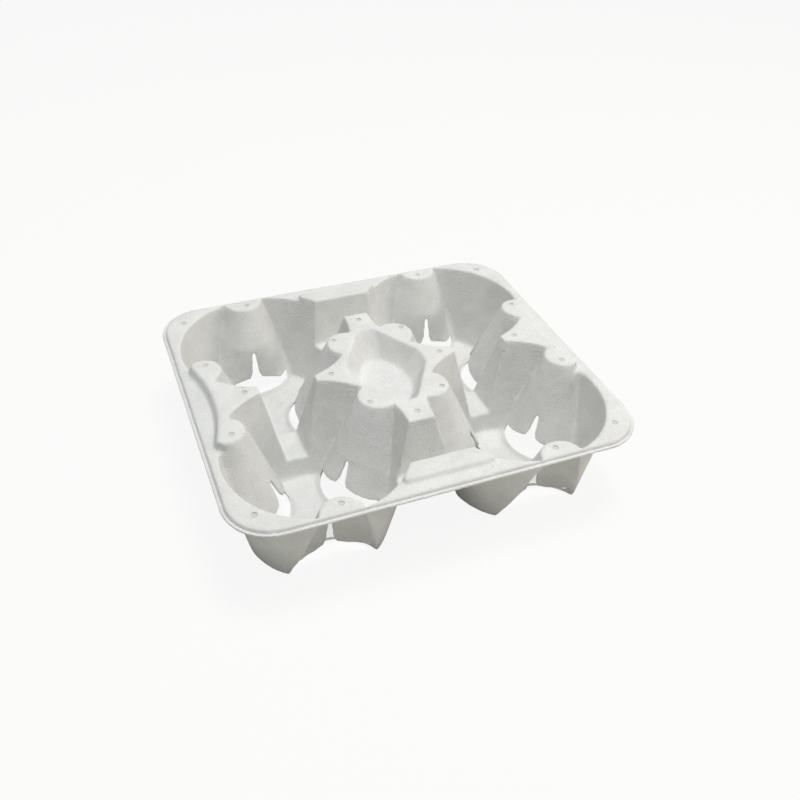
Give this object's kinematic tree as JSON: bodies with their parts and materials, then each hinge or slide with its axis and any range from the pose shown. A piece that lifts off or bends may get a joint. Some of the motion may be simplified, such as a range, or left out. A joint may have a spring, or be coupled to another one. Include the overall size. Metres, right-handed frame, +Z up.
{
  "type": "cup carrier",
  "caption": "Moulded pulp cup carrier: a tray with a flanged rim, ribbed round wells that grip paper cups and a raised centre post with a pocket.",
  "frame": {"origin": "centre of the footprint, at the height of the surface that the wells stand on", "axes": "+X along the longer side of the rim, +Y along the shorter side, +Z up out of the wells"},
  "size_m": [0.22, 0.196, 0.0575],
  "materials": {
    "pulp": "matt, fine wire-mesh texture"
  },
  "bodies": {
    "root": {"carrier": "pulp"}
  },
  "joints": []
}
